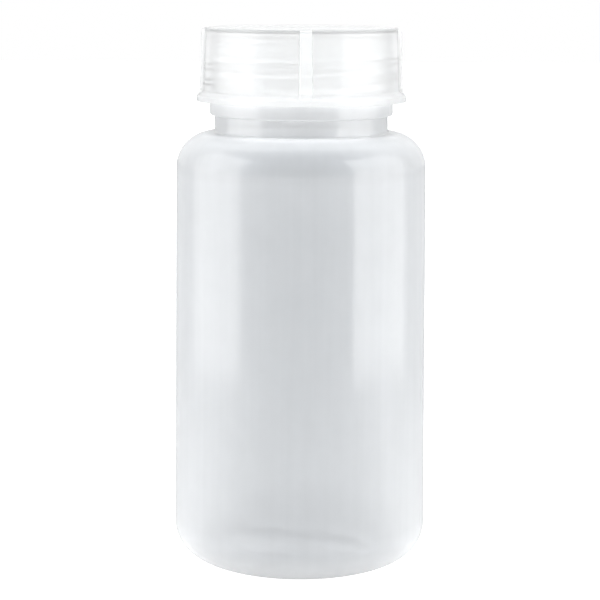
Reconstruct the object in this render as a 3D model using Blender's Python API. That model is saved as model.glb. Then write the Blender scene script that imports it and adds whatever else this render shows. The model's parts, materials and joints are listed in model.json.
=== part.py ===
"""Wide-neck laboratory bottle of one litre: a blow-moulded bottle, a screw cap and the loose sealing
liner inside the cap.

Frame: origin at the centre of the base, on the plane the bottle stands on, +Z up along the bottle's
axis, -Y towards the front. Sizes below are in millimetres; MM turns them into Blender's metres.
"""

import math

import bmesh
import bpy
from mathutils import Matrix, Vector

MM = 0.001
SEGMENTS = 60  # facets round the axis
MERGE_DISTANCE = 1e-7  # metres
SHARP_DEG = 32.0  # edges that turn by more than this are shaded sharp

# ---------------------------------------------------------------- bottle
BODY_TOP_R = 46.65  # the body tapers slightly towards its base
BODY_LOW_R = 46.35
BASE_CORNER_R = 11.6
SHOULDER_R = 13.0
SHOULDER_CENTRE_Z = 143.25
SHOULDER_TOP_Z = SHOULDER_CENTRE_Z + SHOULDER_R
SHOULDER_SWEEP_DEG = 84  # the shoulder's arc stops short of level
WALL = 1.3
BASE_WALL = 1.8
STAND_RING_IN_R = 30.5  # inner edge of the flat ring that touches the bench
PUSH_UP_R = 27.0  # the middle of the base is pushed up inside this radius
PUSH_UP_Z = 2.2
NECK_R = 32.36
BORE_R = 30.2
BEAD_R = 34.28
BEAD_LOW_Z = 162.7
BEAD_TOP_Z = 168.4
FINISH_R = 32.3  # outside of the neck between its threads
MOUTH_Z = 191.8

# Ridges under and inside the base, where the mould pinched the walls together
MOULD_SEAM_DEG = -17.5  # direction of the mould's parting plane, from +X
SEAM_ROOT_Z = PUSH_UP_Z + 1.2  # within the base, where both ridges begin
PINCH_LENGTH = 50.0
PINCH_WIDTH = 2.0
PINCH_LOW_SHARE = 0.45  # width of its lower edge as a share of PINCH_WIDTH
PINCH_HEIGHT = 0.9
PINCH_LOW_Z = PUSH_UP_Z + 0.3 - PINCH_HEIGHT
WELD_LENGTH = 46.0
WELD_WIDTH = 3.4
WELD_TOP_Z = 6.9
WELD_END_SLOPE = 2.5  # how far each end leans in along the ridge

# ---------------------------------------------------------------- thread
PITCH = 5.6  # one start, right-handed
THREAD_REF_Z = 174.5  # height at which the neck's ridge crosses +X
NECK_CREST_R = 34.0
NECK_THREAD_START = -0.35  # turns from the +X crossing
NECK_THREAD_TURNS = 2.85
CAP_CREST_R = 32.8
CAP_THREAD_DROP = 2.35  # the cap's ridge runs this far below the neck's
CAP_THREAD_START = 0.1
CAP_THREAD_TURNS = 2.25
ROOT_HALF = 1.35  # half the ridge's height along the axis at its foot
CREST_HALF = 0.6
FOOT_SINK = 0.7  # depth of the ridge's foot in the wall
END_SINK = 0.35  # depth of the crest in the wall at the ridge's ends
END_ROOT_SHARE = 0.72  # ROOT_HALF is cut to this share at the ridge's ends
RUN_OUT = 4  # facets over which a thread's end fades into the wall

# ---------------------------------------------------------------- cap
CAP_TOP_Z = 195.4
CAP_LOW_Z = 167.9
CAP_PLATE = 1.8
CAP_TOP_R = 36.0
CAP_CORNER_R = 1.0
CAP_FOOT_R = 36.75
GATE_MARK_R = 1.6
GATE_MARK_RIM_R = 2.0
GATE_MARK_DEPTH = 0.35
FLANGE_R = 39.35
FLANGE_TOP_Z = 170.2
CAP_IN_TOP_R = 34.3
CAP_IN_LOW_R = 34.6
SKIRT_IN_R = 35.2
LINER_HOLD_R = 33.6  # the low bead under the liner
RIB_COUNT = 4
RIB_FRONT_DEG = -87.6
RIB_WIDTH = 4.5
RIB_ROOT_R = 35.5  # sunk in the cap's wall
RIB_TOP_R = 37.6
RIB_FOOT_R = 38.25
RIB_CORNER_R = 1.0
RIB_LOW_Z = CAP_LOW_Z + 1.0
RIB_TOP_Z = CAP_TOP_Z - 0.25

# ---------------------------------------------------------------- liner
LINER_R = 33.9
LINER_LOW_Z = 192.1
LINER_TOP_Z = 193.3
LINER_BEVEL = 0.3
LIP_OUT_R = 29.6
LIP_IN_R = 28.0
LIP_LOW_Z = 190.9


# ---------------------------------------------------------------- helpers
def clear_scene():
    for obj in list(bpy.data.objects):
        bpy.data.objects.remove(obj, do_unlink=True)
    for mesh in list(bpy.data.meshes):
        bpy.data.meshes.remove(mesh)


def material(name, colour, roughness, alpha=1.0, transmission=0.0):
    mat = bpy.data.materials.new(name)
    mat.use_nodes = True
    settings = {
        "Base Color": (*colour, 1.0),
        "Roughness": roughness,
        "Metallic": 0.0,
        "IOR": 1.51,
        "Transmission Weight": transmission,
        "Alpha": alpha,
    }
    shader = mat.node_tree.nodes["Principled BSDF"]
    for socket, value in settings.items():
        shader.inputs[socket].default_value = value
    mat.diffuse_color = (*colour, alpha)
    return mat


def arc(centre_r, centre_z, arc_r, start_deg, end_deg, steps):
    """Points of an arc in the (radius, height) plane, both ends included."""
    points = []
    for i in range(steps + 1):
        angle = math.radians(start_deg + (end_deg - start_deg) * i / steps)
        points.append((centre_r + arc_r * math.cos(angle), centre_z + arc_r * math.sin(angle)))
    return points


def about_z(degrees):
    return Matrix.Rotation(math.radians(degrees), 4, "Z")


def shade(obj):
    obj.data.shade_smooth()
    obj.data.set_sharp_from_angle(angle=math.radians(SHARP_DEG))


def add_empty(name):
    empty = bpy.data.objects.new(name, None)
    bpy.context.scene.collection.objects.link(empty)
    return empty


def object_from(bm, name, mat=None):
    bmesh.ops.recalc_face_normals(bm, faces=bm.faces[:])
    mesh = bpy.data.meshes.new(name)
    bm.to_mesh(mesh)
    bm.free()
    obj = bpy.data.objects.new(name, mesh)
    bpy.context.scene.collection.objects.link(obj)
    if mat:
        mesh.materials.append(mat)
    return obj


def turned(name, profile, mat):
    """A solid turned about +Z from (radius, height) points that run from the axis back to it."""
    bm = bmesh.new()
    verts = [bm.verts.new((radius * MM, 0.0, z * MM)) for radius, z in profile]
    edges = [bm.edges.new(pair) for pair in zip(verts, verts[1:])]
    bmesh.ops.spin(
        bm,
        geom=verts + edges,
        cent=(0, 0, 0),
        axis=(0, 0, 1),
        angle=2 * math.pi,
        steps=SEGMENTS,
        use_merge=True,
    )
    bmesh.ops.remove_doubles(bm, verts=bm.verts[:], dist=MERGE_DISTANCE)
    return object_from(bm, name, mat)


def extruded(name, outline, width, frame):
    """A prism: outline is (radius, height) points, extruded width across, then placed by frame."""
    bm = bmesh.new()
    face = bm.faces.new(
        [bm.verts.new((radius * MM, -width * MM / 2, z * MM)) for radius, z in outline]
    )
    made = bmesh.ops.extrude_face_region(bm, geom=[face])
    moved = [item for item in made["geom"] if isinstance(item, bmesh.types.BMVert)]
    bmesh.ops.translate(bm, verts=moved, vec=Vector((0, width * MM, 0)))
    bmesh.ops.transform(bm, matrix=frame, verts=bm.verts[:])
    return object_from(bm, name)


def join(target, tool):
    """Joins tool to target with a Boolean union, applied, and removes the tool."""
    modifier = target.modifiers.new(tool.name, "BOOLEAN")
    modifier.operation = "UNION"
    modifier.solver = "EXACT"
    modifier.object = tool
    graph = bpy.context.evaluated_depsgraph_get()
    united = bpy.data.meshes.new_from_object(target.evaluated_get(graph))
    target.modifiers.clear()
    old_mesh, name = target.data, target.data.name
    target.data = united
    bpy.data.meshes.remove(old_mesh)
    united.name = name
    bpy.data.objects.remove(tool, do_unlink=True)


# ---------------------------------------------------------------- thread ridges
def thread_section(wall_r, crest_r, z, fade):
    """The ridge's trapezium at height z as (radius, height) points; fade is 0 at the ridge's ends
    and 1 where it is full."""
    outward = 1.0 if crest_r > wall_r else -1.0
    foot_r = wall_r - outward * FOOT_SINK
    end_r = wall_r - outward * END_SINK
    top_r = end_r + (crest_r - wall_r + outward * END_SINK) * fade
    height_share = (top_r - foot_r) / (crest_r - foot_r)
    root_half = ROOT_HALF * (END_ROOT_SHARE + (1 - END_ROOT_SHARE) * fade)
    top_half = root_half + (CREST_HALF - ROOT_HALF) * height_share
    return (
        (foot_r, z - root_half),
        (top_r, z - top_half),
        (top_r, z + top_half),
        (foot_r, z + root_half),
    )


def thread_ridge(name, wall_r, crest_r, ref_z, start, turns):
    """A helical ridge that crosses +X at ref_z and runs from start, counted in turns from there.
    It stands out from wall_r to crest_r, either way, and its foot is sunk in the wall so that the
    two unite."""
    count = round(turns * SEGMENTS)
    first = round(start * SEGMENTS)
    rings = []
    bm = bmesh.new()
    for i in range(count + 1):
        # Half a facet off the wall's own corners, so that no edges of the two run together.
        turn = (first + i + 0.5) / SEGMENTS
        angle = 2 * math.pi * turn
        fade = min(1.0, min(i, count - i) / RUN_OUT)
        section = thread_section(wall_r, crest_r, ref_z + PITCH * turn, fade)
        rings.append(
            [
                bm.verts.new((radius * math.cos(angle) * MM, radius * math.sin(angle) * MM, z * MM))
                for radius, z in section
            ]
        )
    for ring, following in zip(rings, rings[1:]):
        for k in range(4):
            n = (k + 1) % 4
            bm.faces.new((ring[k], ring[n], following[n], following[k]))
    bm.faces.new(rings[0])
    bm.faces.new(rings[-1][::-1])
    return object_from(bm, name)


# ---------------------------------------------------------------- bottle
def bottle_profile():
    """(radius, height) points: up the outside from the base's centre, then down the inside."""
    corner_centre_r = BODY_LOW_R - BASE_CORNER_R
    shoulder_centre_r = BODY_TOP_R - SHOULDER_R
    inner_corner_r = BASE_CORNER_R - WALL
    return [
        # underside
        (0.0, PUSH_UP_Z + 0.5),
        (15.0, PUSH_UP_Z + 0.35),
        (PUSH_UP_R - 1.5, PUSH_UP_Z),
        (PUSH_UP_R + 0.8, PUSH_UP_Z - 0.7),
        (STAND_RING_IN_R - 0.8, 0.25),
        (STAND_RING_IN_R, 0.0),
        # body and shoulder
        *arc(corner_centre_r, BASE_CORNER_R, BASE_CORNER_R, -90, 0, 7),
        *arc(shoulder_centre_r, SHOULDER_CENTRE_Z, SHOULDER_R, 0, SHOULDER_SWEEP_DEG, 8),
        # neck
        (NECK_R + 1.1, SHOULDER_TOP_Z + 0.05),
        (NECK_R + 0.3, SHOULDER_TOP_Z + 0.35),
        (NECK_R, SHOULDER_TOP_Z + 1.1),
        (NECK_R, BEAD_LOW_Z - 0.3),
        (NECK_R + 0.2, BEAD_LOW_Z),
        # bead
        (BEAD_R - 0.75, BEAD_LOW_Z + 0.1),
        (BEAD_R - 0.15, BEAD_LOW_Z + 0.6),
        (BEAD_R, BEAD_LOW_Z + 1.1),
        (BEAD_R, BEAD_TOP_Z - 0.5),
        (BEAD_R - 0.5, BEAD_TOP_Z),
        # threaded finish and mouth
        (FINISH_R + 0.3, BEAD_TOP_Z + 0.1),
        (FINISH_R, BEAD_TOP_Z + 0.5),
        (FINISH_R, MOUTH_Z - 0.6),
        (FINISH_R - 0.5, MOUTH_Z),
        # bore
        (BORE_R + 0.45, MOUTH_Z),
        (BORE_R, MOUTH_Z - 0.5),
        (BORE_R, SHOULDER_TOP_Z),
        (BORE_R + 0.3, SHOULDER_TOP_Z - 0.65),
        (BORE_R + 1.1, SHOULDER_TOP_Z - 1.1),
        # inside of shoulder, body and base
        *arc(shoulder_centre_r, SHOULDER_CENTRE_Z, SHOULDER_R - WALL, SHOULDER_SWEEP_DEG, 0, 7),
        *arc(corner_centre_r, inner_corner_r + BASE_WALL, inner_corner_r, 0, -90, 6),
        (STAND_RING_IN_R + 0.4, BASE_WALL),
        (PUSH_UP_R + 1.2, PUSH_UP_Z + 1.2),
        (PUSH_UP_R - 1.5, PUSH_UP_Z + 1.9),
        (14.0, PUSH_UP_Z + 2.4),
        (0.0, PUSH_UP_Z + 2.6),
    ]


def pinch_off():
    """The ridge left under the base along the parting plane; its outline is its cross-section."""
    half = PINCH_WIDTH / 2
    low_half = half * PINCH_LOW_SHARE
    outline = [
        (-half, SEAM_ROOT_Z),
        (-low_half, PINCH_LOW_Z),
        (low_half, PINCH_LOW_Z),
        (half, SEAM_ROOT_Z),
    ]
    return extruded("pinch_off", outline, PINCH_LENGTH, about_z(MOULD_SEAM_DEG + 90))


def inner_weld():
    """The same weld where it stands up inside the base; its outline is its side view."""
    root_end = WELD_LENGTH / 2
    top_end = root_end - WELD_END_SLOPE
    outline = [
        (-root_end, SEAM_ROOT_Z),
        (root_end, SEAM_ROOT_Z),
        (top_end, WELD_TOP_Z),
        (-top_end, WELD_TOP_Z),
    ]
    return extruded("inner_weld", outline, WELD_WIDTH, about_z(MOULD_SEAM_DEG))


def make_bottle(mat):
    bottle = turned("bottle", bottle_profile(), mat)
    neck_thread = thread_ridge(
        "neck_thread",
        wall_r=FINISH_R,
        crest_r=NECK_CREST_R,
        ref_z=THREAD_REF_Z,
        start=NECK_THREAD_START,
        turns=NECK_THREAD_TURNS,
    )
    join(bottle, neck_thread)
    join(bottle, pinch_off())
    join(bottle, inner_weld())
    shade(bottle)
    return bottle


# ---------------------------------------------------------------- cap
def cap_profile():
    """(radius, height) points: down the outside from the top's centre, then up the inside."""
    under_plate = CAP_TOP_Z - CAP_PLATE
    return [
        # gate mark
        (0.0, CAP_TOP_Z - GATE_MARK_DEPTH),
        (GATE_MARK_R, CAP_TOP_Z - GATE_MARK_DEPTH),
        (GATE_MARK_RIM_R, CAP_TOP_Z),
        # top corner and wall
        *arc(CAP_TOP_R - CAP_CORNER_R, CAP_TOP_Z - CAP_CORNER_R, CAP_CORNER_R, 90, 0, 3),
        (CAP_FOOT_R, FLANGE_TOP_Z + 1.9),
        (CAP_FOOT_R + 0.5, FLANGE_TOP_Z + 1.2),
        # flange
        (FLANGE_R - 0.35, FLANGE_TOP_Z),
        (FLANGE_R, FLANGE_TOP_Z - 0.35),
        (FLANGE_R, CAP_LOW_Z + 0.3),
        (FLANGE_R - 0.3, CAP_LOW_Z),
        # inside of the skirt
        (SKIRT_IN_R + 0.3, CAP_LOW_Z),
        (SKIRT_IN_R, CAP_LOW_Z + 0.3),
        (SKIRT_IN_R, CAP_LOW_Z + 2.6),
        (CAP_IN_LOW_R, CAP_LOW_Z + 3.2),
        # bead under the liner
        (CAP_IN_TOP_R, LINER_LOW_Z - 1.35),
        (LINER_HOLD_R, LINER_LOW_Z - 0.85),
        (LINER_HOLD_R, LINER_LOW_Z - 0.55),
        (CAP_IN_TOP_R, LINER_LOW_Z - 0.15),
        # underside of the top plate
        (CAP_IN_TOP_R, under_plate - 0.3),
        (CAP_IN_TOP_R - 0.3, under_plate),
        (0.0, under_plate),
    ]


def rib_outline():
    return [
        (RIB_ROOT_R, RIB_LOW_Z),
        (RIB_FOOT_R, RIB_LOW_Z),
        *arc(RIB_TOP_R - RIB_CORNER_R, RIB_TOP_Z - RIB_CORNER_R, RIB_CORNER_R, 0, 90, 3),
        (RIB_ROOT_R, RIB_TOP_Z),
    ]


def make_cap(mat):
    cap = turned("screw_cap", cap_profile(), mat)
    cap_thread = thread_ridge(
        "cap_thread",
        wall_r=(CAP_IN_TOP_R + CAP_IN_LOW_R) / 2,
        crest_r=CAP_CREST_R,
        ref_z=THREAD_REF_Z - CAP_THREAD_DROP,
        start=CAP_THREAD_START,
        turns=CAP_THREAD_TURNS,
    )
    join(cap, cap_thread)
    for i in range(RIB_COUNT):
        place = about_z(RIB_FRONT_DEG + 360.0 * i / RIB_COUNT)
        join(cap, extruded(f"rib_{i + 1}", rib_outline(), RIB_WIDTH, place))
    shade(cap)
    return cap


# ---------------------------------------------------------------- liner
def make_liner(mat):
    """A disc with a lip that hangs down into the bottle's mouth."""
    profile = [
        (0.0, LINER_TOP_Z),
        (LINER_R - LINER_BEVEL, LINER_TOP_Z),
        (LINER_R, LINER_TOP_Z - LINER_BEVEL),
        (LINER_R, LINER_LOW_Z + LINER_BEVEL),
        (LINER_R - LINER_BEVEL, LINER_LOW_Z),
        (LIP_OUT_R + 0.25, LINER_LOW_Z),
        (LIP_OUT_R, LIP_LOW_Z + 0.3),
        (LIP_OUT_R - 0.35, LIP_LOW_Z),
        (LIP_IN_R + 0.2, LIP_LOW_Z),
        (LIP_IN_R - 0.2, LINER_LOW_Z),
        (0.0, LINER_LOW_Z),
    ]
    liner = turned("sealing_liner", profile, mat)
    shade(liner)
    return liner


def main():
    clear_scene()
    bottle_mat = material(
        "natural_ldpe", colour=(0.86, 0.88, 0.89), roughness=0.18, alpha=0.6, transmission=0.6
    )
    cap_mat = material(
        "natural_pp_cap", colour=(0.94, 0.945, 0.94), roughness=0.25, alpha=0.75, transmission=0.4
    )
    liner_mat = material("white_pe_liner", colour=(0.93, 0.93, 0.92), roughness=0.45)
    assembly = add_empty("bottle_frame")
    # The cap turns about +Z and the liner rises along it, so both hang from an empty on that axis.
    lid_axis = add_empty("lid_axis")
    lid_axis.parent = assembly
    make_bottle(bottle_mat).parent = assembly
    make_liner(liner_mat).parent = lid_axis
    make_cap(cap_mat).parent = lid_axis


main()
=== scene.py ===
import json
import math

import bmesh
import bpy
import numpy as np
from mathutils import Matrix, Vector

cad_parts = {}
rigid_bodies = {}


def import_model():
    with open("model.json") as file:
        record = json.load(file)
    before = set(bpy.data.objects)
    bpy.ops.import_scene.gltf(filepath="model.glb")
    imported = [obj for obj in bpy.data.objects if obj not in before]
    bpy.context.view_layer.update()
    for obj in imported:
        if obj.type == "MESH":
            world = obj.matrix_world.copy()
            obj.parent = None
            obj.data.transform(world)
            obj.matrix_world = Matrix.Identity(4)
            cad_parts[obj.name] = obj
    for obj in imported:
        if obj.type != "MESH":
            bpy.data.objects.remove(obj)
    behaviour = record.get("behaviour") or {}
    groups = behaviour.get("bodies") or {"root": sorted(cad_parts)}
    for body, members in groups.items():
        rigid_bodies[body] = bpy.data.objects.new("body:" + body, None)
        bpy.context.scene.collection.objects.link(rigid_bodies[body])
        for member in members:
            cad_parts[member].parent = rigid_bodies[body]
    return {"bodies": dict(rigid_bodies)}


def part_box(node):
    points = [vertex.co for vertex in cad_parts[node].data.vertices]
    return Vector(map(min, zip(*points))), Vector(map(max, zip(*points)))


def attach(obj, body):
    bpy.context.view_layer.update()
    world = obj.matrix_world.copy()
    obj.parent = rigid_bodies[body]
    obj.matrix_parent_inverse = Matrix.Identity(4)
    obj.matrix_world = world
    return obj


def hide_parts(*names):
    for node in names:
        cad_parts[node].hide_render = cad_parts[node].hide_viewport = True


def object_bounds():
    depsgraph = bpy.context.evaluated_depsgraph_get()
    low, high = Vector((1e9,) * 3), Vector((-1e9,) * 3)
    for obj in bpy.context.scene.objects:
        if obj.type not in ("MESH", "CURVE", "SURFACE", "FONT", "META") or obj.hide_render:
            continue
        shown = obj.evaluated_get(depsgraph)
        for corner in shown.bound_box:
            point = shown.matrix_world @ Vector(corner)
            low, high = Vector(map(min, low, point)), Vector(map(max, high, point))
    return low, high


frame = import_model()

CAD_LO, CAD_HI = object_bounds()
MM = 0.001

bottle_lo, bottle_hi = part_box("bottle")
cap_lo, cap_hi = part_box("screw_cap")
liner_lo, liner_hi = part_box("sealing_liner")

# ------------------------------------------------------------------ sizes, in mm, tied to the frame
BODY_TOP_R = bottle_hi.x / MM
BODY_LOW_R = BODY_TOP_R - 0.3
BASE_CORNER_R = 11.6
SHOULDER_R = 13.0
SHOULDER_Z = 143.25
WALL = 1.3
NECK_R = 32.36
BORE_R = 30.2
BEAD_R = 34.28
BEAD_LOW_Z = 162.7
BEAD_TOP_Z = 168.4
FINISH_R = 32.3
MOUTH_Z = bottle_hi.z / MM
SEAM = math.radians(-17.5)

PITCH = 5.6
THREAD_REF_Z = 174.5
NECK_CREST_R = 34.0
NECK_START, NECK_TURNS = -0.35, 2.85
CAP_CREST_R = 32.8
CAP_DROP = 2.35
CAP_START, CAP_TURNS = 0.1, 2.25
ROOT_HALF, CREST_HALF = 1.35, 0.6

CAP_TOP_Z = cap_hi.z / MM
CAP_LOW_Z = cap_lo.z / MM
CAP_PLATE = 1.8
CAP_TOP_R, CAP_FOOT_R = 36.0, 36.75
FLANGE_R = cap_hi.x / MM
FLANGE_TOP_Z = 170.2
CAP_IN_TOP_R, CAP_IN_LOW_R, SKIRT_IN_R = 34.3, 34.6, 35.2
LINER_HOLD_R = 33.6
RIB_DEG = -87.6
RIB_WIDTH = 4.5
RIB_TOP_R, RIB_FOOT_R = 37.6, 38.25

LINER_R = liner_hi.x / MM
LINER_LOW_Z = 192.1
LINER_TOP_Z = liner_hi.z / MM


# ------------------------------------------------------------------ mesh helpers
def smooth(t):
    t = np.clip(t, 0.0, 1.0)
    return t * t * (3 - 2 * t)


def arc(cx, cz, r, start_deg, end_deg, steps):
    a = np.radians(np.linspace(start_deg, end_deg, steps + 1))
    return [(cx + r * math.cos(t), cz + r * math.sin(t)) for t in a]


def line(a, b, step):
    """Points from a to b, a left out, b included."""
    n = max(1, int(math.ceil(math.hypot(b[0] - a[0], b[1] - a[1]) / step)))
    return [(a[0] + (b[0] - a[0]) * i / n, a[1] + (b[1] - a[1]) * i / n) for i in range(1, n + 1)]


def rounded(points, radii, steps=5):
    """A polyline with its inner corners rounded."""
    out = [points[0]]
    for i in range(1, len(points) - 1):
        p, a, b = np.array(points[i], float), np.array(points[i - 1], float), np.array(points[i + 1], float)
        r = radii[i]
        if r <= 0:
            out.append(tuple(p))
            continue
        ua, ub = a - p, b - p
        la, lb = np.linalg.norm(ua), np.linalg.norm(ub)
        ua, ub = ua / la, ub / lb
        half = math.acos(max(-1, min(1, float(ua @ ub)))) / 2
        d = min(r / math.tan(half), la * 0.49, lb * 0.49)
        p0, p1 = p + ua * d, p + ub * d
        for k in range(steps + 1):
            t = k / steps
            q = (1 - t) ** 2 * p0 + 2 * t * (1 - t) * p + t * t * p1
            out.append(tuple(q))
    out.append(points[-1])
    return out


def angles(base, extra=()):
    a = list(np.linspace(0, 2 * math.pi, base, endpoint=False))
    for e in extra:
        a.append(e % (2 * math.pi))
    a = np.array(sorted(a))
    keep = [a[0]]
    for v in a[1:]:
        if v - keep[-1] > 1e-4:
            keep.append(v)
    return np.array(keep)


def lathe(name, profile, theta, shape=None, turn_row=None):
    """A closed body turned from a profile that starts and ends on the axis. shape(r, z, theta) may move the points."""
    prof = np.array(profile, float)
    inner = prof[1:-1]
    R = np.repeat(inner[:, :1], len(theta), 1)
    Z = np.repeat(inner[:, 1:], len(theta), 1)
    T = np.repeat(theta[None, :], len(inner), 0)
    if shape:
        R, Z = shape(R, Z, T)
    X, Y = R * np.cos(T), R * np.sin(T)
    rows, cols = R.shape
    co = np.stack([X, Y, Z], -1).reshape(-1, 3)
    first, last = prof[0], prof[-1]
    z0, z1 = first[1], last[1]
    if shape:
        z0 = float(Z[0].mean()) if abs(inner[0, 0]) < 1.0 else z0
        z1 = float(Z[-1].mean()) if abs(inner[-1, 0]) < 1.0 else z1
    co = np.vstack([co, [[0, 0, z0]], [[0, 0, z1]]]) * MM
    idx = np.arange(rows * cols).reshape(rows, cols)
    nxt = np.roll(idx, -1, 1)
    quads = np.stack([idx[:-1], nxt[:-1], nxt[1:], idx[1:]], -1).reshape(-1, 4)
    faces = [tuple(q) for q in quads.tolist()]
    a, b = rows * cols, rows * cols + 1
    faces += [(a, int(nxt[0, k]), int(idx[0, k])) for k in range(cols)]
    faces += [(b, int(idx[-1, k]), int(nxt[-1, k])) for k in range(cols)]
    mesh = bpy.data.meshes.new(name)
    mesh.from_pydata(co.tolist(), [], faces)
    bm = bmesh.new()
    bm.from_mesh(mesh)
    bmesh.ops.recalc_face_normals(bm, faces=bm.faces[:])
    bm.to_mesh(mesh)
    bm.free()
    mesh.shade_smooth()
    # faces after the profile's highest or lowest point (turn_row) are the inside of the wall
    if turn_row is not None:
        rows_of = np.concatenate([np.repeat(np.arange(rows - 1), cols), np.zeros(cols, int), np.full(cols, rows)])
        mesh.polygons.foreach_set("material_index", (rows_of >= turn_row).astype(np.int32))
    obj = bpy.data.objects.new(name, mesh)
    bpy.context.scene.collection.objects.link(obj)
    return obj


def ridge(T, Z, ref, start, turns):
    """0 to 1: how far a point at angle T and height Z is up a helical ridge's flank."""
    turn = (T / (2 * math.pi)) % 1.0
    k = np.round((Z - ref) / PITCH - turn)
    t = turn + k
    u = np.abs(Z - (ref + PITCH * t))
    flank = smooth((ROOT_HALF + 0.12 - u) / (ROOT_HALF - CREST_HALF + 0.24))
    ends = smooth((t - start) / 0.085) * smooth((start + turns - t) / 0.085)
    return flank * ends


# ------------------------------------------------------------------ bottle
def bottle_profile():
    ring_out = BODY_LOW_R - BASE_CORNER_R
    shoulder_in = BODY_TOP_R - SHOULDER_R
    top = SHOULDER_Z + SHOULDER_R
    push_z, push_r, ring_in = 2.2, 27.0, 30.5
    out = [(0.0, push_z + 0.5)]
    under = rounded(
        [(0.6, push_z + 0.5), (15.0, push_z + 0.35), (push_r - 1.0, push_z), (ring_in - 0.6, 0.2), (ring_in + 0.6, 0.0), (ring_out, 0.0)],
        [0, 6, 1.6, 1.2, 0.8, 0], 5)
    dense = [under[0]]
    for p in under[1:]:
        dense += line(dense[-1], p, 0.7)
    out += dense
    out += arc(ring_out, BASE_CORNER_R, BASE_CORNER_R, -90, 0, 26)[1:]
    out += line(out[-1], (BODY_TOP_R, SHOULDER_Z), 3.0)
    out += arc(shoulder_in, SHOULDER_Z, SHOULDER_R, 0, 84, 28)[1:]
    neck = rounded(
        [out[-1], (NECK_R + 0.1, top + 0.05), (NECK_R, BEAD_LOW_Z), (BEAD_R, BEAD_LOW_Z), (BEAD_R, BEAD_TOP_Z), (FINISH_R, BEAD_TOP_Z), (FINISH_R, BEAD_TOP_Z + 1.5)],
        [0, 1.0, 0.4, 0.9, 0.5, 0.3, 0], 6)
    out += neck[1:]
    out += line(out[-1], (FINISH_R, MOUTH_Z - 0.8), 0.13)
    lip = rounded([out[-1], (FINISH_R, MOUTH_Z), (BORE_R, MOUTH_Z), (BORE_R, MOUTH_Z - 1.5)], [0, 0.7, 0.6, 0], 6)
    out += lip[1:]
    out += line(out[-1], (BORE_R, top + 0.6), 1.2)
    inside = rounded(
        [out[-1], (BORE_R, top - 1.35), (shoulder_in + (SHOULDER_R - WALL) * math.cos(math.radians(84)), SHOULDER_Z + (SHOULDER_R - WALL) * math.sin(math.radians(84)))],
        [0, 1.8, 0], 6)
    out += inside[1:]
    out += arc(shoulder_in, SHOULDER_Z, SHOULDER_R - WALL, 84, 0, 24)[1:]
    corner = BASE_CORNER_R - WALL
    out += line(out[-1], (ring_out + corner, corner + 1.8), 3.0)
    out += arc(ring_out, corner + 1.8, corner, 0, -90, 22)[1:]
    floor = rounded(
        [out[-1], (ring_in + 0.2, 1.8), (push_r - 1.2, push_z + 1.95), (14.0, push_z + 2.4), (0.6, push_z + 2.6)],
        [0, 1.6, 2.5, 4, 0], 6)
    dense = [out[-1]]
    for p in floor[1:]:
        dense += line(dense[-1], p, 0.7)
    out += dense[1:]
    out.append((0.0, push_z + 2.6))
    return out


def shape_bottle(R, Z, T):
    rows = R.shape[0]
    order = np.arange(rows)
    peak = int(np.argmax(Z[:, 0]))  # outside before the lip, inside after it
    outside = (order <= peak)[:, None] & np.ones_like(T, bool)
    inside = ~outside
    R, Z = R.copy(), Z.copy()
    # the neck's thread
    zone = outside & (Z > BEAD_TOP_Z + 0.9) & (Z < MOUTH_Z - 0.7) & (np.abs(R - FINISH_R) < 0.05)
    R = np.where(zone, R + (NECK_CREST_R - FINISH_R) * ridge(T, Z, THREAD_REF_Z, NECK_START, NECK_TURNS), R)
    # the mould's parting lines: two low ridges from base corner to bead, gone where the thread starts
    away = np.abs((T - SEAM + math.pi / 2) % math.pi - math.pi / 2) * R
    line_up = np.exp(-((away / 0.16) ** 2)) * smooth((Z - 1.0) / 4.0) * (Z < BEAD_TOP_Z)
    R = np.where(outside & (R > 30), R + 0.09 * line_up, R)
    # the pinch-off weld across the base, under it and, higher, inside it
    along = R * np.cos(T - SEAM)
    across = R * np.sin(T - SEAM)
    ends = smooth((23.5 - np.abs(along)) / 2.5)
    low = outside & (R < 27.5)
    Z = np.where(low, Z - 0.9 * np.exp(-((np.abs(across) / 1.0) ** 2.6)) * ends, Z)
    wavy = 1 + 0.07 * np.sin(along * 0.55 + 0.6) + 0.05 * np.sin(along * 1.27)
    high = inside & (Z < 8) & (R < 27.5)
    Z = np.where(high, Z + 2.3 * wavy * np.exp(-((np.abs(across) / 2.1) ** 3)) * ends, Z)
    # blown walls aren't of quite even thickness
    wall = inside & (Z > 10) & (Z < 150)
    R = np.where(wall, R + 0.07 * np.sin(2 * T + 0.7) + 0.05 * np.sin(3 * T + Z * 0.021) + 0.03 * np.sin(Z * 0.06 + T), R)
    return R, Z


def mark(obj, name, level):
    """Stores a value from 0 to 1 at each point, for the material to read. level(r, z, theta)."""
    mesh = obj.data
    co = np.empty(len(mesh.vertices) * 3)
    mesh.vertices.foreach_get("co", co)
    co = co.reshape(-1, 3) / MM
    r, theta = np.hypot(co[:, 0], co[:, 1]), np.arctan2(co[:, 1], co[:, 0])
    layer = mesh.attributes.new(name, "FLOAT", "POINT")
    layer.data.foreach_set("value", np.clip(level(r, co[:, 2], theta), 0, 1).astype(np.float32))


def bottle_thick(r, z, theta):
    bead = smooth((r - NECK_R - 0.3) / 1.0) * (z > BEAD_LOW_Z - 0.2) * (z < BEAD_TOP_Z + 0.2)
    thread = smooth((r - FINISH_R - 0.2) / 1.0) * (z > BEAD_TOP_Z + 0.2)
    across = np.abs(r * np.sin(theta - SEAM))
    weld = smooth((2.4 - across) / 1.2) * (z < 8) * (z > 0.6) * (r < 24)
    corner = 0.5 * smooth((14.0 - z) / 8.0) * (r > 28)
    return np.maximum(np.maximum(bead, thread), np.maximum(weld, corner))


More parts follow.
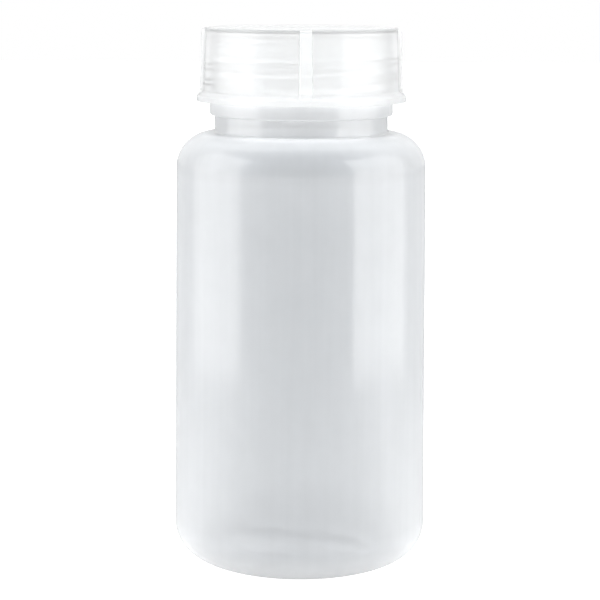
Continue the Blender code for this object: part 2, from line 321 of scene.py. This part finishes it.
def bottle_painted_shade(r, z, theta):
    # painted shade over the shoulder: where this mark is set, the milky colour is made darker
    return smooth((z - 140.0) / 8.0) * smooth((r - 37.0) / 3.0)


seam_cols = [SEAM + s + k * math.pi for k in (0, 1) for s in np.radians([-0.6, -0.4, -0.28, -0.18, -0.09, 0, 0.09, 0.18, 0.28, 0.4, 0.6])]
prof = bottle_profile()
bottle = lathe("bottle_shell", prof, angles(264, seam_cols), shape_bottle, int(np.argmax([z for r, z in prof])))
mark(bottle, "thick", bottle_thick)
mark(bottle, "painted_shade", bottle_painted_shade)


# ------------------------------------------------------------------ cap
def cap_profile():
    plate = CAP_TOP_Z - CAP_PLATE
    top = rounded([(0.5, CAP_TOP_Z - 0.35), (1.6, CAP_TOP_Z - 0.35), (1.9, CAP_TOP_Z), (CAP_TOP_R, CAP_TOP_Z), (CAP_TOP_R + 0.06, CAP_TOP_Z - 3)],
                  [0, 0.2, 0.2, 1.0, 0], 6)
    out = [(0.0, CAP_TOP_Z - 0.35), top[0]]
    for p in top[1:]:
        out += line(out[-1], p, 2.5)
    out += line(out[-1], (CAP_FOOT_R, FLANGE_TOP_Z + 2.6), 1.2)
    skirt = rounded(
        [out[-1], (CAP_FOOT_R + 0.05, FLANGE_TOP_Z + 1.5), (FLANGE_R - 0.35, FLANGE_TOP_Z), (FLANGE_R, FLANGE_TOP_Z - 0.35), (FLANGE_R, CAP_LOW_Z), (SKIRT_IN_R, CAP_LOW_Z),
         (SKIRT_IN_R, CAP_LOW_Z + 2.7), (CAP_IN_LOW_R, CAP_LOW_Z + 3.2), (CAP_IN_LOW_R - 0.01, CAP_LOW_Z + 3.6)],
        [0, 1.2, 0.25, 0.25, 0.35, 0.4, 0.4, 0.3, 0], 5)
    out += skirt[1:]
    out += line(out[-1], (CAP_IN_TOP_R, LINER_LOW_Z - 1.45), 0.13)
    roof = rounded(
        [out[-1], (CAP_IN_TOP_R, LINER_LOW_Z - 1.35), (LINER_HOLD_R, LINER_LOW_Z - 0.85), (LINER_HOLD_R, LINER_LOW_Z - 0.55), (CAP_IN_TOP_R, LINER_LOW_Z - 0.15), (CAP_IN_TOP_R, plate), (0.6, plate)],
        [0, 0.1, 0.2, 0.2, 0.1, 0.4, 0], 4)
    for p in roof[1:-1]:
        out += line(out[-1], p, 1.0)
    out += line(out[-1], roof[-1], 2.5)
    out.append((0.0, plate))
    return out


RIBS = [math.radians(RIB_DEG + 90 * k) for k in range(4)]


def shape_cap(R, Z, T):
    rows = R.shape[0]
    R, Z = R.copy(), Z.copy()
    edge = int(np.argmin(Z[:, 0]))  # outside before the skirt's foot, inside after it
    outside = (np.arange(rows) <= edge)[:, None] & np.ones_like(T, bool)
    inside = ~outside
    # the ribs
    rel = np.abs((T - RIBS[0] + math.pi / 4) % (math.pi / 2) - math.pi / 4) * 36.5
    side = smooth((RIB_WIDTH / 2 + 0.17 - rel) / 0.34)
    top = CAP_TOP_Z - 0.2
    crown = np.sqrt(np.clip(1 - (np.clip(Z - (top - 1.2), 0, 1.2) / 1.2) ** 2, 0, 1))
    rib_r = RIB_FOOT_R + (RIB_TOP_R - RIB_FOOT_R) * (Z - CAP_LOW_Z) / (CAP_TOP_Z - CAP_LOW_Z)
    base_r = CAP_FOOT_R + (CAP_TOP_R - CAP_FOOT_R) * (Z - FLANGE_TOP_Z) / (CAP_TOP_Z - FLANGE_TOP_Z)
    want = base_r + (rib_r - base_r) * crown
    zone = outside & (Z > FLANGE_TOP_Z + 0.3) & (R > 34.5)
    R = np.where(zone, np.maximum(R, R + (want - R) * side), R)
    # the thread inside
    zone = inside & (Z > CAP_LOW_Z + 3.3) & (Z < LINER_LOW_Z - 1.6) & (R > 34)
    R = np.where(zone, R - (R - CAP_CREST_R) * ridge(T, Z, THREAD_REF_Z - CAP_DROP, CAP_START, CAP_TURNS), R)
    return R, Z


rib_cols = [c + s for c in RIBS for k in (-1, 1) for s in (k * (RIB_WIDTH / 2 + np.linspace(-0.2, 0.2, 9)) / 36.5)]
prof = cap_profile()
cap = lathe("screw_cap_shell", prof, angles(256, rib_cols), shape_cap, int(np.argmin([z for r, z in prof])))



def cap_thick(r, z, theta):
    wall = CAP_FOOT_R + (CAP_TOP_R - CAP_FOOT_R) * (z - FLANGE_TOP_Z) / (CAP_TOP_Z - FLANGE_TOP_Z)
    rib = smooth((r - wall - 0.25) / 0.8) * (z > FLANGE_TOP_Z + 2.2)
    flange = 0.5 * smooth((r - CAP_FOOT_R - 0.4) / 1.2) * (z < FLANGE_TOP_Z + 2.2)
    thread = 0.8 * smooth((CAP_IN_TOP_R - 0.1 - r) / 1.2) * (r > CAP_CREST_R - 0.3) * (z > CAP_LOW_Z + 3.0) * (z < LINER_LOW_Z - 1.6)
    return np.maximum(np.maximum(rib, flange), thread)


mark(cap, "thick", cap_thick)
# painted shade on the cap's top plate: its milky colour is made darker there
mark(cap, "painted_shade", lambda r, z, theta: 0.7 * (z > CAP_TOP_Z - 0.6) * (r < CAP_TOP_R - 0.5))

# ------------------------------------------------------------------ liner
liner_profile = rounded(
    [(0.5, LINER_TOP_Z), (LINER_R, LINER_TOP_Z), (LINER_R, LINER_LOW_Z), (29.75, LINER_LOW_Z), (29.6, 190.9), (28.1, 190.9), (27.7, LINER_LOW_Z), (0.5, LINER_LOW_Z)],
    [0, 0.3, 0.3, 0.2, 0.3, 0.3, 0.3, 0], 4)
liner = lathe("sealing_liner_disc", [(0.0, LINER_TOP_Z)] + liner_profile + [(0.0, LINER_LOW_Z)], angles(192))


# ------------------------------------------------------------------ materials
def nodes_of(mat):
    mat.use_nodes = True
    tree = mat.node_tree
    tree.nodes.clear()
    return tree, tree.nodes, tree.links


def value(nodes, v):
    n = nodes.new("ShaderNodeValue")
    n.outputs[0].default_value = v
    return n.outputs[0]


def math_node(nodes, links, op, a, b=None, clamp=False):
    n = nodes.new("ShaderNodeMath")
    n.operation = op
    n.use_clamp = clamp
    for i, x in enumerate((a, b)):
        if x is None:
            continue
        if isinstance(x, (int, float)):
            n.inputs[i].default_value = x
        else:
            links.new(x, n.inputs[i])
    return n.outputs[0]


def noise(nodes, links, vector, scale, detail=2.0, rough=0.5, dims=(1, 1, 1)):
    m = nodes.new("ShaderNodeMapping")
    m.inputs["Scale"].default_value = dims
    links.new(vector, m.inputs["Vector"])
    n = nodes.new("ShaderNodeTexNoise")
    n.inputs["Scale"].default_value = scale
    n.inputs["Detail"].default_value = detail
    n.inputs["Roughness"].default_value = rough
    links.new(m.outputs["Vector"], n.inputs["Vector"])
    return n.outputs["Fac"]


def map_range(nodes, links, x, a, b, c, d):
    n = nodes.new("ShaderNodeMapRange")
    n.inputs["From Min"].default_value, n.inputs["From Max"].default_value = a, b
    n.inputs["To Min"].default_value, n.inputs["To Max"].default_value = c, d
    links.new(x, n.inputs["Value"])
    return n.outputs["Result"]


def polyethylene(name, tint, milk, share_through, haze_rough, gloss_rough, milk_colour, streaks=0.0, glow=0.0, edge_dark=0.3, thick_milk=0.25, skin_face=1.0, skin_edge=0.3, ior=1.51):
    """Translucent moulded plastic: a gloss skin over a part that scatters (back, or through the wall) and a part that
    lets light through."""
    mat = bpy.data.materials.new(name)
    tree, nodes, links = nodes_of(mat)
    coord = nodes.new("ShaderNodeTexCoord").outputs["Object"]
    # drawn-out vertical streaks of the blown tube, mottled haze, and fine handling marks
    mottle = noise(nodes, links, coord, 38.0, 3.0, 0.55)
    streak = noise(nodes, links, coord, 260.0, 2.0, 0.5, (1, 1, 0.03))
    fine = noise(nodes, links, coord, 900.0, 3.0, 0.6)
    scratch = noise(nodes, links, coord, 420.0, 1.0, 0.4, (0.25, 0.25, 1.6))
    amount = map_range(nodes, links, mottle, 0.3, 0.7, milk - 0.02, milk + 0.02)
    amount.node.name = "milk"
    if streaks:
        amount = math_node(nodes, links, "ADD", amount, math_node(nodes, links, "MULTIPLY", math_node(nodes, links, "SUBTRACT", streak, 0.5), streaks))
    # thicker plastic scatters more
    thick = nodes.new("ShaderNodeAttribute")
    thick.attribute_name = "thick"
    extra = math_node(nodes, links, "MULTIPLY", thick.outputs["Fac"], thick_milk)
    extra.node.name = "thick_milk"
    amount = math_node(nodes, links, "ADD", amount, extra, True)
    bump_big = nodes.new("ShaderNodeBump")
    bump_big.inputs["Strength"].default_value = 1.0
    bump_big.inputs["Distance"].default_value = 0.00005
    links.new(noise(nodes, links, coord, 22.0, 2.0, 0.4), bump_big.inputs["Height"])
    bump = nodes.new("ShaderNodeBump")
    bump.inputs["Strength"].default_value = 0.12
    bump.inputs["Distance"].default_value = 0.000008
    links.new(fine, bump.inputs["Height"])
    links.new(bump_big.outputs["Normal"], bump.inputs["Normal"])
    normal = bump.outputs["Normal"]
    rough = map_range(nodes, links, scratch, 0.35, 0.75, gloss_rough, gloss_rough + 0.05)
    # painted shade: where the outside of the wall is seen at a grazing angle its milky colour is made darker, by up to
    # edge_dark, for the dark lines along the outline
    face = nodes.new("ShaderNodeLayerWeight")
    face.inputs["Blend"].default_value = 0.5
    front_side = nodes.new("ShaderNodeNewGeometry")
    outside = math_node(nodes, links, "SUBTRACT", 1.0, front_side.outputs["Backfacing"])
    graze = map_range(nodes, links, face.outputs["Facing"], 0.80, 0.97, 0.0, edge_dark)
    graze.node.name = "graze"
    dark = math_node(nodes, links, "SUBTRACT", 1.0, math_node(nodes, links, "MULTIPLY", outside, graze))
    # painted shade: where the shade mark is set (the bottle's shoulder, the cap's top plate) the milky colour is made
    # up to 12.7% darker
    painted_shade = nodes.new("ShaderNodeAttribute")
    painted_shade.attribute_name = "painted_shade"
    less = math_node(nodes, links, "MULTIPLY", painted_shade.outputs["Fac"], 0.127)
    less.node.name = "painted_shade_less"
    dark = math_node(nodes, links, "MULTIPLY", dark, math_node(nodes, links, "SUBTRACT", 1.0, less))

    # the milky colour with the painted shade of the outline and of the shade mark applied
    def shaded(colour):
        mix = nodes.new("ShaderNodeVectorMath")
        mix.operation = "SCALE"
        mix.name = "shaded"
        mix.inputs[0].default_value = colour
        links.new(dark, mix.inputs["Scale"])
        return mix.outputs["Vector"]

    clear = nodes.new("ShaderNodeBsdfRefraction")
    clear.inputs["Color"].default_value = (*tint, 1)
    clear.inputs["Roughness"].default_value = haze_rough
    clear.inputs["IOR"].default_value = ior
    links.new(normal, clear.inputs["Normal"])
    through = nodes.new("ShaderNodeBsdfTranslucent")
    links.new(shaded(milk_colour), through.inputs["Color"])
    back = nodes.new("ShaderNodeBsdfDiffuse")
    links.new(shaded(milk_colour), back.inputs["Color"])
    links.new(normal, back.inputs["Normal"])
    milky = nodes.new("ShaderNodeMixShader")
    milky.name = "share_through"
    milky.inputs[0].default_value = share_through
    links.new(back.outputs[0], milky.inputs[1])
    links.new(through.outputs[0], milky.inputs[2])
    body = nodes.new("ShaderNodeMixShader")
    links.new(amount, body.inputs[0])
    links.new(clear.outputs[0], body.inputs[1])
    links.new(milky.outputs[0], body.inputs[2])
    skin = nodes.new("ShaderNodeBsdfGlossy")
    skin.inputs["Color"].default_value = (1, 1, 1, 1)
    links.new(rough, skin.inputs["Roughness"])
    links.new(normal, skin.inputs["Normal"])
    fres = nodes.new("ShaderNodeFresnel")
    fres.inputs["IOR"].default_value = ior
    links.new(normal, fres.inputs["Normal"])
    # the moulded skin isn't optically flat, so its reflections don't climb as steeply towards the outline
    calm = map_range(nodes, links, face.outputs["Facing"], 0.42, 0.95, skin_face, skin_edge)
    calm.node.name = "calm"
    mix = nodes.new("ShaderNodeMixShader")
    links.new(math_node(nodes, links, "MULTIPLY", fres.outputs[0], calm), mix.inputs[0])
    links.new(body.outputs[0], mix.inputs[1])
    links.new(skin.outputs[0], mix.inputs[2])
    final = mix.outputs[0]
    if glow:
        # painted glow: an emission that stands in for light scattered inside the thick wall
        emit = nodes.new("ShaderNodeEmission")
        emit.inputs["Color"].default_value = (*milk_colour, 1)
        emit.inputs["Strength"].default_value = glow
        add = nodes.new("ShaderNodeAddShader")
        links.new(final, add.inputs[0])
        links.new(emit.outputs[0], add.inputs[1])
        final = add.outputs[0]
    out = nodes.new("ShaderNodeOutputMaterial")
    links.new(final, out.inputs["Surface"])
    return mat


BOTTLE_MILK = (0.934, 0.938, 0.940)
CAP_MILK = (0.998, 0.998, 0.994)
bottle_mat = polyethylene("bottle_ldpe", (0.99, 0.995, 1.0), 0.670, 0.030, 0.12, 0.05, BOTTLE_MILK, streaks=0.05)
bottle_in = polyethylene("bottle_ldpe_inside", (0.99, 0.995, 1.0), 0.180, 0.500, 0.15, 0.15, BOTTLE_MILK, streaks=0.04, edge_dark=0.1)
cap_mat = polyethylene("cap_pp", (1.0, 1.0, 0.998), 0.530, 0.780, 0.17, 0.09, CAP_MILK, skin_face=0.6, skin_edge=0.5)
cap_in = polyethylene("cap_pp_inside", (1.0, 1.0, 0.998), 0.209, 0.60, 0.30, 0.20, CAP_MILK, edge_dark=0.1)
liner_mat = polyethylene("liner_pe", (0.97, 0.97, 0.965), 0.80, 0.6, 0.3, 0.3, (0.97, 0.97, 0.96), edge_dark=0.1)
for obj, mats, slot, node, body in (
    (bottle, (bottle_mat, bottle_in), "bottle_plastic", "bottle", "vessel"),
    (cap, (cap_mat, cap_in), "cap_plastic", "screw_cap", "cap"),
    (liner, (liner_mat,), "liner_plastic", "sealing_liner", "liner"),
):
    for mat in mats:
        obj.data.materials.append(mat)
    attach(obj, body)
    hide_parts(node)

# ------------------------------------------------------------------ studio
scene = bpy.context.scene
scene.view_settings.view_transform = "Standard"
scene.view_settings.look = "None"
scene.cycles.max_bounces = 80
scene.cycles.transmission_bounces = 80
scene.cycles.glossy_bounces = 80
scene.cycles.diffuse_bounces = 80
scene.cycles.transparent_max_bounces = 16

CAP_FILL = 11.900
ENV_LEVEL = 1.285
BEHIND = 0.0036
NECK_FILL = 0.00035
DARK_UP = 18.0
FRONT_FROM, FRONT_TO, FRONT_LEVEL, TOP_EXTRA = 0.000, 0.701, 0.090, 1.505
world = bpy.data.worlds.new("studio")
scene.world = world
world.use_nodes = True
wt = world.node_tree
wt.nodes.clear()
geo = wt.nodes.new("ShaderNodeNewGeometry")
sep = wt.nodes.new("ShaderNodeSeparateXYZ")
turned = wt.nodes.new("ShaderNodeVectorRotate")
turned.rotation_type = "Z_AXIS"
wt.links.new(geo.outputs["Incoming"], turned.inputs["Vector"])
wt.links.new(turned.outputs[0], sep.inputs[0])
# Incoming points from the sky back to the viewer: +Y there means light that comes from the front, -Y, side.
front = wt.nodes.new("ShaderNodeMapRange")
front.interpolation_type = "SMOOTHSTEP"
front.inputs["From Min"].default_value = FRONT_FROM
front.inputs["From Max"].default_value = FRONT_TO
front.inputs["To Min"].default_value = 1.0
front.inputs["To Max"].default_value = FRONT_LEVEL
# the dark part is centred a little above the horizon
ahead = wt.nodes.new("ShaderNodeVectorMath")
ahead.operation = "DOT_PRODUCT"
ahead.inputs[1].default_value = (0.0, math.cos(math.radians(DARK_UP)), -math.sin(math.radians(DARK_UP)))
wt.links.new(turned.outputs[0], ahead.inputs[0])
wt.links.new(ahead.outputs["Value"], front.inputs["Value"])
# a large softbox overhead
over = wt.nodes.new("ShaderNodeMapRange")
over.interpolation_type = "SMOOTHSTEP"
over.inputs["From Min"].default_value = -0.55
over.inputs["From Max"].default_value = -0.85
over.inputs["To Min"].default_value = 0.0
over.inputs["To Max"].default_value = TOP_EXTRA
wt.links.new(sep.outputs["Z"], over.inputs["Value"])
# large pale panels at both sides, seen in reflections only
SIDE_ENV, SIDE_FLOOR = 2.700, 1.250


def side_glow(nodes, links, ahead, across, fade=None):
    """0 to 1 by azimuth: none straight ahead (the camera's side), most beside the bottle, less behind it."""
    long = math_node(nodes, links, "SQRT", math_node(nodes, links, "ADD", math_node(nodes, links, "MULTIPLY", ahead, ahead), math_node(nodes, links, "MULTIPLY", across, across)))
    cos_az = math_node(nodes, links, "DIVIDE", ahead, math_node(nodes, links, "MAXIMUM", long, 1e-5))
    rise = map_range(nodes, links, cos_az, 0.97, 0.25, 0.0, 1.0)
    fall = map_range(nodes, links, cos_az, 0.20, -0.55, 1.0, 0.0)
    out = math_node(nodes, links, "MULTIPLY", rise, fall)
    return math_node(nodes, links, "MULTIPLY", out, fade) if fade is not None else out


path = wt.nodes.new("ShaderNodeLightPath")
high = map_range(wt.nodes, wt.links, sep.outputs["Z"], -0.55, -0.85, 1.0, 0.0)
sides = side_glow(wt.nodes, wt.links, sep.outputs["Y"], sep.outputs["X"], math_node(wt.nodes, wt.links, "MULTIPLY", high, path.outputs["Is Glossy Ray"]))
sides = math_node(wt.nodes, wt.links, "MULTIPLY", sides, SIDE_ENV)
sides.node.name = "side_env"
unseen = math_node(wt.nodes, wt.links, "SUBTRACT", 1.0, path.outputs["Is Glossy Ray"])
total = math_node(wt.nodes, wt.links, "ADD", front.outputs["Result"], math_node(wt.nodes, wt.links, "MULTIPLY", over.outputs["Result"], unseen))
cool = wt.nodes.new("ShaderNodeMix")
cool.data_type = "RGBA"
wt.links.new(math_node(wt.nodes, wt.links, "SUBTRACT", 1.0, front.outputs["Result"], True), cool.inputs["Factor"])
cool.inputs["A"].default_value = (1, 1, 1, 1)
cool.inputs["B"].default_value = (0.90, 0.97, 1.05, 1)
shade = wt.nodes.new("ShaderNodeBackground")
wt.links.new(cool.outputs["Result"], shade.inputs["Color"])
level = math_node(wt.nodes, wt.links, "MULTIPLY", total, ENV_LEVEL)
wt.links.new(math_node(wt.nodes, wt.links, "ADD", level, sides), shade.inputs["Strength"])
plain = wt.nodes.new("ShaderNodeBackground")
plain.inputs["Color"].default_value = (1, 1, 1, 1)
plain.inputs["Strength"].default_value = 1.0
pick = wt.nodes.new("ShaderNodeMixShader")
wt.links.new(path.outputs["Is Camera Ray"], pick.inputs[0])
wt.links.new(shade.outputs[0], pick.inputs[1])
wt.links.new(plain.outputs[0], pick.inputs[2])
wo = wt.nodes.new("ShaderNodeOutputWorld")
wt.links.new(pick.outputs[0], wo.inputs["Surface"])

FLOOR_NEAR, FLOOR_FAR = 0.500, 0.162
floor_mesh = bpy.data.meshes.new("floor")
floor_mesh.from_pydata([(-4, -4, 0), (4, -4, 0), (4, 4, 0), (-4, 4, 0)], [], [(0, 1, 2, 3)])
floor = bpy.data.objects.new("floor", floor_mesh)
scene.collection.objects.link(floor)
floor.location.z = CAD_LO.z - 0.0002
floor_mat = bpy.data.materials.new("pale_floor")
tree, nodes, links = nodes_of(floor_mat)
diff = nodes.new("ShaderNodeBsdfDiffuse")
diff.inputs["Color"].default_value = (0.45, 0.45, 0.45, 1)
glow = nodes.new("ShaderNodeEmission")
glow.inputs["Color"].default_value = (1, 1, 1, 1)
seen = nodes.new("ShaderNodeLightPath")
spot = nodes.new("ShaderNodeVectorMath")
spot.operation = "LENGTH"
links.new(nodes.new("ShaderNodeTexCoord").outputs["Object"], spot.inputs[0])
patch = map_range(nodes, links, spot.outputs["Value"], 0.05, 0.35, FLOOR_NEAR, FLOOR_FAR)
where = nodes.new("ShaderNodeSeparateXYZ")
links.new(spot.inputs[0].links[0].from_socket, where.inputs[0])
sides = side_glow(nodes, links, math_node(nodes, links, "MULTIPLY", where.outputs["Y"], -1.0), where.outputs["X"], seen.outputs["Is Glossy Ray"])
sides = math_node(nodes, links, "MULTIPLY", sides, SIDE_FLOOR)
sides.node.name = "side_floor"
glow_level = nodes.new("ShaderNodeMix")
links.new(seen.outputs["Is Camera Ray"], glow_level.inputs["Factor"])
links.new(math_node(nodes, links, "ADD", patch, sides), glow_level.inputs["A"])
glow_level.inputs["B"].default_value = 0.85
links.new(glow_level.outputs["Result"], glow.inputs["Strength"])
add = nodes.new("ShaderNodeAddShader")
links.new(diff.outputs[0], add.inputs[0])
links.new(glow.outputs[0], add.inputs[1])
fo = nodes.new("ShaderNodeOutputMaterial")
links.new(add.outputs[0], fo.inputs["Surface"])
floor_mesh.materials.append(floor_mat)


def card(name, az0, az1, dist, z0, z1, strength, soft0, soft1, soft_low, soft_top, dim0=1.0, dim1=1.0):
    """A curved softbox round the axis between two azimuths, seen in reflections only. Azimuth 0 is the camera's side, positive to the right."""
    n = 24
    verts, faces, uvs = [], [], []
    for i in range(n + 1):
        a = math.radians(az0 + (az1 - az0) * i / n)
        for z in (z0, z1):
            verts.append((dist * math.sin(a) * MM, -dist * math.cos(a) * MM, z * MM))
    for i in range(n):
        faces.append((2 * i, 2 * i + 2, 2 * i + 3, 2 * i + 1))
    mesh = bpy.data.meshes.new(name)
    mesh.from_pydata(verts, [], faces)
    layer = mesh.uv_layers.new(name="UVMap")
    for poly in mesh.polygons:
        for li in poly.loop_indices:
            v = mesh.loops[li].vertex_index
            layer.data[li].uv = ((v // 2) / n, v % 2)
    obj = bpy.data.objects.new(name, mesh)
    scene.collection.objects.link(obj)
    mat = bpy.data.materials.new(name)
    tree, nodes, links = nodes_of(mat)
    uv = nodes.new("ShaderNodeUVMap")
    split = nodes.new("ShaderNodeSeparateXYZ")
    links.new(uv.outputs[0], split.inputs[0])

    def edge(sock, soft, flip):
        m = nodes.new("ShaderNodeMapRange")
        m.interpolation_type = "SMOOTHSTEP"
        if flip:
            m.inputs["From Min"].default_value, m.inputs["From Max"].default_value = 1.0, 1.0 - max(soft, 1e-4)
        else:
            m.inputs["From Min"].default_value, m.inputs["From Max"].default_value = 0.0, max(soft, 1e-4)
        links.new(sock, m.inputs["Value"])
        return m.outputs["Result"]

    e = math_node(nodes, links, "MULTIPLY", edge(split.outputs["X"], soft0, False), edge(split.outputs["X"], soft1, True))
    f = math_node(nodes, links, "MULTIPLY", edge(split.outputs["Y"], soft_low, False), edge(split.outputs["Y"], soft_top, True))
    m = math_node(nodes, links, "MULTIPLY", e, f)
    # dimmer towards one side, because reflections strengthen towards the outline
    m = math_node(nodes, links, "MULTIPLY", m, map_range(nodes, links, split.outputs["X"], 0, 1, dim0, dim1))
    emit = nodes.new("ShaderNodeEmission")
    emit.inputs["Color"].default_value = (1, 1, 1, 1)
    emit.inputs["Strength"].default_value = strength
    clear = nodes.new("ShaderNodeBsdfTransparent")
    mix = nodes.new("ShaderNodeMixShader")
    links.new(m, mix.inputs[0])
    links.new(clear.outputs[0], mix.inputs[1])
    links.new(emit.outputs[0], mix.inputs[2])
    out = nodes.new("ShaderNodeOutputMaterial")
    links.new(mix.outputs[0], out.inputs["Surface"])
    mesh.materials.append(mat)
    obj.parent = floor
    obj.matrix_parent_inverse = Matrix.Translation((0, 0, -floor.location.z))
    obj.visible_camera = False
    obj.visible_diffuse = False
    obj.visible_transmission = False
    obj.visible_volume_scatter = False
    obj.visible_shadow = False
    return obj


card("softbox_left", -118, -45, 300, 2, 430, 4.700, 0.34, 0.22, 0.06, 0.08, 0.3, 1.05)
card("softbox_right", 42, 110, 300, 2, 430, 4.400, 0.107, 0.22, 0.06, 0.08, 1.05, 0.45)



def lamp(name, size, power, place, aim, only, shade_by, spread=180.0):
    """A soft lamp, not seen in reflections, that lights just the pieces in only and is shaded by those in shade_by."""
    light = bpy.data.lights.new(name, "AREA")
    light.shape = "RECTANGLE"
    light.size, light.size_y = size
    light.energy = power
    light.spread = math.radians(spread)
    obj = bpy.data.objects.new(name, light)
    scene.collection.objects.link(obj)
    obj.location = place
    obj.rotation_mode = "QUATERNION"
    obj.rotation_quaternion = (Vector(aim) - Vector(place)).to_track_quat("-Z", "Y")
    obj.parent = floor
    obj.matrix_parent_inverse = Matrix.Translation((0, 0, -floor.location.z))
    obj.visible_camera = False
    obj.visible_glossy = False
    obj.visible_transmission = False
    for kind, pieces in (("receiver", only), ("blocker", shade_by)):
        group = bpy.data.collections.new(f"{name}_{kind}")
        for piece in pieces:
            group.objects.link(piece)
        setattr(obj.light_linking, kind + "_collection", group)
    return obj


lamp("cap_fill", (1.2, 0.3), CAP_FILL, (0.0, -0.72, 0.36), (0, 0, 0.182), (cap,), (cap,))
# a narrow beam from behind and above, on the neck and the ring where the shoulder starts
lamp("behind", (0.07, 0.004), BEHIND, (0.0, 0.35, 0.543), (0, -0.037, 0.156), (bottle,), (floor,), spread=3.5)

lamp("neck_fill", (0.07, 0.003), NECK_FILL, (0.0, -0.30, 0.168), (0, -0.032, 0.158), (bottle,), (floor,), spread=3.5)

# ------------------------------------------------------------------ camera
cam_data = bpy.data.cameras.new("camera")
cam = bpy.data.objects.new("camera", cam_data)
scene.collection.objects.link(cam)
scene.camera = cam
CAM_Y, CAM_Z = -0.6979, 0.2139
F_PX, CX, CY = 1860.8, 301.96, -18.9
cam_data.sensor_width = 36.0
cam_data.lens = F_PX / 600 * 36.0
cam_data.clip_start, cam_data.clip_end = 0.01, 100
pitch, roll = math.radians(0.10), math.radians(0.278)
rot = Matrix.Rotation(math.radians(90) - pitch, 4, "X") @ Matrix.Rotation(roll, 4, "Z")
cam.matrix_world = Matrix.Translation((0, CAM_Y, CAM_Z)) @ rot
SHIFT_X = (300 - CX) / 600
SHIFT_Y = (CY - 300) / 600
cam_data.shift_x, cam_data.shift_y = SHIFT_X, SHIFT_Y


def drive(prop, expression):
    """The lens is shifted only while the camera stands at its own place, and opens a little as the cap rises, so that
    the lifted cap stays in the picture."""
    d = cam_data.driver_add(prop).driver
    d.type = "SCRIPTED"
    for name, target, kind in (("y", cam, "LOC_Y"), ("z", cam, "LOC_Z"), ("c", frame["bodies"]["cap"], "LOC_Z")):
        v = d.variables.new()
        v.name = name
        v.type = "TRANSFORMS"
        v.targets[0].id = target
        v.targets[0].transform_type = kind
        v.targets[0].transform_space = "WORLD_SPACE"
    d.expression = expression


home = f"abs(y - {CAM_Y:.5f}) < 0.0004 and abs(z - {CAM_Z:.5f}) < 0.0004"
drive("shift_x", f"{SHIFT_X:.6f} if {home} else 0")
drive("shift_y", f"({SHIFT_Y:.6f} + c * 2.222) * (1 - c * 4.2) if {home} else 0")
drive("lens", f"{cam_data.lens:.5f} * (1 - c * 4.2) if {home} else {cam_data.lens:.5f}")



def follow(owner, prop, index, sign):
    """The studio turns round the bottle with the camera, as when a bottle is turned on a table in front of fixed lights."""
    d = owner.driver_add(prop, index).driver
    d.type = "SCRIPTED"
    for name, kind in (("x", "LOC_X"), ("y", "LOC_Y")):
        v = d.variables.new()
        v.name = name
        v.type = "TRANSFORMS"
        v.targets[0].id = cam
        v.targets[0].transform_type = kind
        v.targets[0].transform_space = "WORLD_SPACE"
    d.expression = f"{sign} * atan2(x, 0 - y)"


follow(floor, "rotation_euler", 2, 1)
follow(turned.inputs["Angle"], "default_value", -1, -1)
